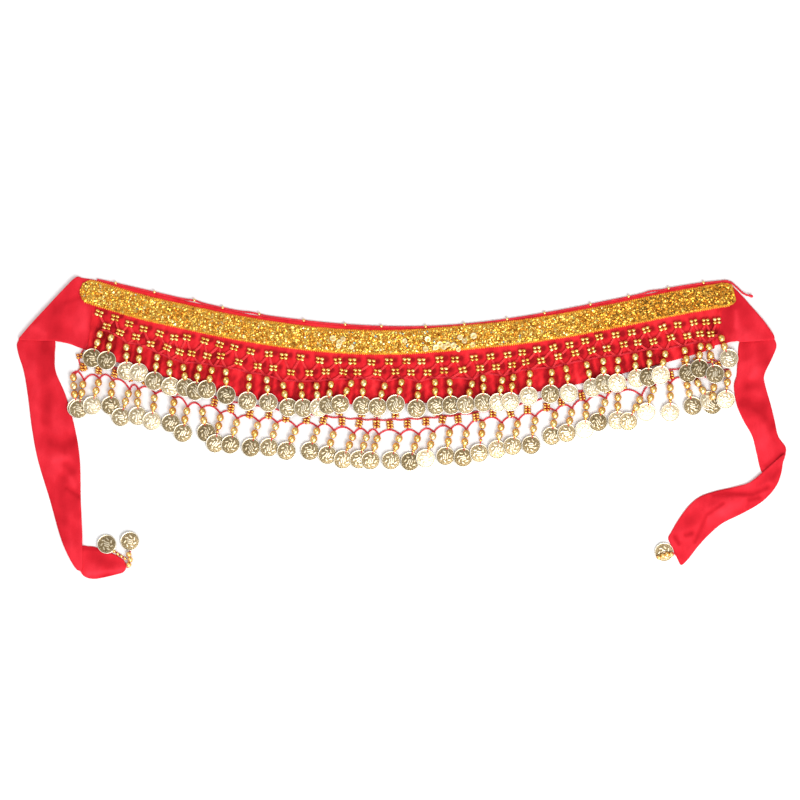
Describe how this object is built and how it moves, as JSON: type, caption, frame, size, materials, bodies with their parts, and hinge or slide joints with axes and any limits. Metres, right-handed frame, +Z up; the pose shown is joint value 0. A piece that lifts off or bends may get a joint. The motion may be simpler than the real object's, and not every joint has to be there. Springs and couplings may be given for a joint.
{
  "type": "belly dance hip scarf",
  "caption": "Crescent velvet hip scarf laid out flat, with sequin trim, crochet bead net, two rows of beaded coin strands and a long folded tie at each end.",
  "frame": {"origin": "middle of the plan outline, on the surface that the scarf lies on", "axes": "+X along the belt towards the right-hand tie, +Y towards the belt's top edge, +Z up from the surface"},
  "size_m": [0.8064, 0.317, 0.0095],
  "materials": {
    "velvet": "soft pile with a broad sheen",
    "crochet": "twisted thread",
    "sequin_trim": "dense small gold sequins",
    "coins_and_beads": "bright, thin stamped metal and gold-plated beads"
  },
  "bodies": {
    "root": {"belt_panel": "velvet", "left_tie_shoulder": "velvet", "left_tie_drop": "velvet", "left_tie_end": "velvet", "right_tie_shoulder": "velvet", "right_tie_drop": "velvet", "right_tie_end": "velvet", "sequin_trim": "sequin_trim", "top_edging": "crochet", "bead_net": "crochet", "lower_net": "crochet", "upper_fringe": "coins_and_beads", "lower_fringe": "coins_and_beads", "left_tie_tassel": "coins_and_beads", "right_tie_tassel": "coins_and_beads"}
  },
  "joints": []
}
